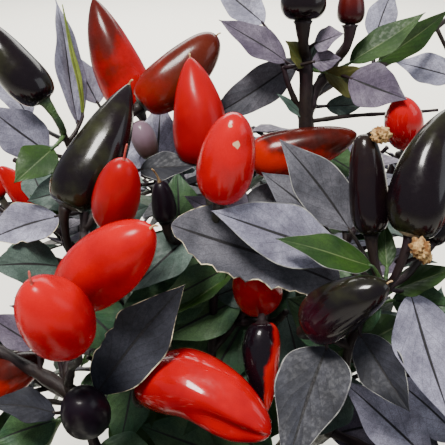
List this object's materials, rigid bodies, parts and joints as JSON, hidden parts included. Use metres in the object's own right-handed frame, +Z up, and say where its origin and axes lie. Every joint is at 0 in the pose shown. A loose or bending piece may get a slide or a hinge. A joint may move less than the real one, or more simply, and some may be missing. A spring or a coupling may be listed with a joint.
{
  "type": "chilli pepper plant",
  "caption": "Compact bushy chilli pepper plant in fruit: a forked woody stem, a rounded leafy crown, and upright tapering fruit that turn from black to red.",
  "frame": {"origin": "middle of the flat cut under the main stem, at ground level", "axes": "+Z up along the main stem, +X to the plant's right as the picture shows it, +Y away from the side that the picture shows"},
  "size_m": [0.3599, 0.3867, 0.3962],
  "materials": {
    "bark": "matte grey-brown bark, finely ridged along the stem",
    "green_wood": "satin green wood stained dark purple-brown",
    "foliage": "satin leaves, from green to grey and purple, on dark purple-brown twigs",
    "ripe_fruit": "waxy gloss, ripe red",
    "turning_fruit": "waxy gloss, brown-red as it ripens",
    "black_fruit": "waxy gloss, unripe purple-black with olive patches"
  },
  "bodies": {
    "root": {"main_stem": "bark", "limb_front": "bark", "limb_left": "bark", "limb_right": "bark", "limb_back": "bark", "bough_front_left": "green_wood", "bough_front_centre": "green_wood", "bough_front_right": "green_wood", "bough_top_right": "green_wood", "bough_low_left": "green_wood", "bough_low_right": "green_wood", "bough_left": "green_wood", "bough_back_left": "green_wood", "bough_right": "green_wood", "bough_top_back": "green_wood", "bough_back_right": "green_wood", "bough_back": "green_wood", "bough_low_front": "green_wood", "bough_mid_left": "green_wood", "bough_mid_right": "green_wood", "chilli_black_far_left": "black_fruit", "chilli_black_left": "black_fruit", "chilli_red_top_left": "ripe_fruit", "chilli_brown_top": "turning_fruit", "chilli_red_left": "ripe_fruit", "chilli_red_upright": "ripe_fruit", "chilli_red_low_left": "ripe_fruit", "chilli_black_bud": "black_fruit", "chilli_red_far_left": "ripe_fruit", "chilli_red_centre": "ripe_fruit", "chilli_red_scarred": "ripe_fruit", "chilli_orange_far": "turning_fruit", "chilli_black_young": "black_fruit", "chilli_red_centre_low": "ripe_fruit", "chilli_red_large": "ripe_fruit", "chilli_turning_low": "turning_fruit", "chilli_black_slim": "black_fruit", "chilli_black_right": "black_fruit", "chilli_black_lying": "black_fruit", "chilli_black_edge": "black_fruit", "chilli_black_top": "black_fruit", "chilli_turning_top": "turning_fruit", "chilli_red_small": "ripe_fruit", "shoot_left": "foliage", "shoot_centre": "foliage", "shoot_right": "foliage", "shoot_top_right": "foliage", "shoot_low_left": "foliage", "shoot_low_right": "foliage", "shoot_far_left": "foliage", "shoot_back_left": "foliage", "shoot_far_right": "foliage", "shoot_top_back": "foliage", "shoot_back_right": "foliage", "shoot_back": "foliage", "shoot_low_front": "foliage", "shoot_mid_left": "foliage", "shoot_mid_right": "foliage"}
  },
  "joints": []
}
